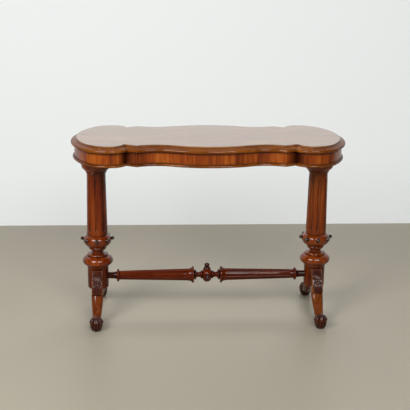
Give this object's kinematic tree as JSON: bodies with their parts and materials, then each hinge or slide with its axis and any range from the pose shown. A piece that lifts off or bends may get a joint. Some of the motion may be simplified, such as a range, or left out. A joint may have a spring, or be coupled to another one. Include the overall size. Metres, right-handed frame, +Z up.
{
  "type": "stretcher table",
  "caption": "Walnut stretcher table: shaped top with moulded edge and figured frieze on turned columns, carved scroll legs and a fluted turned stretcher with a finial.",
  "frame": {"origin": "on the floor under the middle of the top", "axes": "X along the stretcher, Y from front to back, Z up"},
  "size_m": [1.044, 0.472, 0.72],
  "materials": {
    "walnut_top": "french polish",
    "walnut_moulding": "french polish",
    "walnut_frieze": "french polish",
    "walnut_turned": "french polish",
    "walnut_carved": "dark french polish",
    "inner_softwood": "raw"
  },
  "bodies": {
    "root": {"bead_back": "walnut_moulding", "bead_front": "walnut_moulding", "bead_left": "walnut_moulding", "bead_returns": "walnut_moulding", "bead_right": "walnut_moulding", "bearer_left": "inner_softwood", "bearer_right": "inner_softwood", "boss_buttons": "walnut_carved", "boss_finial": "walnut_turned", "bulb_left": "walnut_turned", "bulb_right": "walnut_turned", "capital_left": "walnut_turned", "capital_right": "walnut_turned", "cleats_left": "inner_softwood", "cleats_right": "inner_softwood", "cup_buttons_left": "walnut_carved", "cup_buttons_right": "walnut_carved", "cup_left": "walnut_turned", "cup_right": "walnut_turned", "drum_left": "walnut_turned", "drum_right": "walnut_turned", "frieze_back": "walnut_frieze", "frieze_front": "walnut_frieze", "frieze_left": "walnut_frieze", "frieze_right": "walnut_frieze", "glue_blocks": "inner_softwood", "leg_back_left": "walnut_carved", "leg_back_right": "walnut_carved", "leg_dowels": "inner_softwood", "leg_front_left": "walnut_carved", "leg_front_right": "walnut_carved", "shaft_left": "walnut_turned", "shaft_right": "walnut_turned", "stretcher_arm_left": "walnut_turned", "stretcher_arm_right": "walnut_turned", "stretcher_boss": "walnut_turned", "top_moulding_back": "walnut_moulding", "top_moulding_front": "walnut_moulding", "top_moulding_left": "walnut_moulding", "top_moulding_returns": "walnut_moulding", "top_moulding_right": "walnut_moulding", "top_panel": "walnut_top"}
  },
  "joints": []
}
